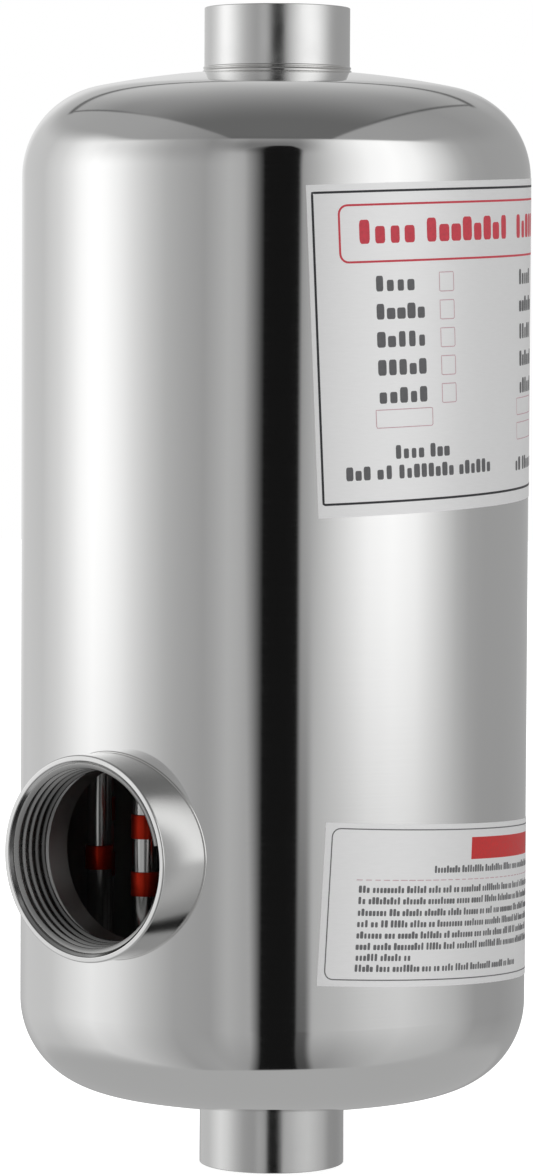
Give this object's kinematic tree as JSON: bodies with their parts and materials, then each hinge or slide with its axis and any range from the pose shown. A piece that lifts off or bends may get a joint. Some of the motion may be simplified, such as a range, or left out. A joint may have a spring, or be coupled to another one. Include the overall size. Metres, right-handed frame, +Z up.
{
  "type": "pool heater",
  "caption": "Upright shell-and-tube pool heater: a polished steel vessel with dished heads, threaded sockets at its ends and sides, and a bundle of straight tubes inside.",
  "frame": {"origin": "centre of the bottom socket's end face, which the heater stands on", "axes": "+Z up along the vessel, -Y out of the lower side port, +Y out of the upper side port, +X through the middle of the labels"},
  "size_m": [0.1399, 0.163, 0.319],
  "materials": {
    "polished_shell": "mirror polished",
    "socket_steel": "turned and satin polished",
    "weld_steel": "satin",
    "sheet_steel": "machined",
    "tube_steel": "bright drawn",
    "red_band": "gloss",
    "label_film": "satin film"
  },
  "bodies": {
    "root": {"barrel": "polished_shell", "top_head": "polished_shell", "bottom_head": "polished_shell", "top_socket": "socket_steel", "bottom_socket": "socket_steel", "lower_side_socket": "socket_steel", "upper_side_socket": "socket_steel", "top_socket_weld": "weld_steel", "bottom_socket_weld": "weld_steel", "lower_side_weld": "weld_steel", "upper_side_weld": "weld_steel", "upper_tube_sheet": "sheet_steel", "lower_tube_sheet": "sheet_steel", "centre_tube": "tube_steel", "inner_tube_1": "tube_steel", "inner_tube_2": "tube_steel", "inner_tube_3": "tube_steel", "inner_tube_4": "tube_steel", "inner_tube_5": "tube_steel", "inner_tube_6": "tube_steel", "outer_tube_1": "tube_steel", "outer_tube_2": "tube_steel", "outer_tube_3": "tube_steel", "outer_tube_4": "tube_steel", "outer_tube_5": "tube_steel", "outer_tube_6": "tube_steel", "outer_tube_7": "tube_steel", "outer_tube_8": "tube_steel", "outer_tube_9": "tube_steel", "outer_tube_10": "tube_steel", "outer_tube_11": "tube_steel", "outer_tube_12": "tube_steel", "lower_spacer_bands": "red_band", "upper_spacer_bands": "red_band", "main_label": "label_film", "notice_label": "label_film"}
  },
  "joints": []
}
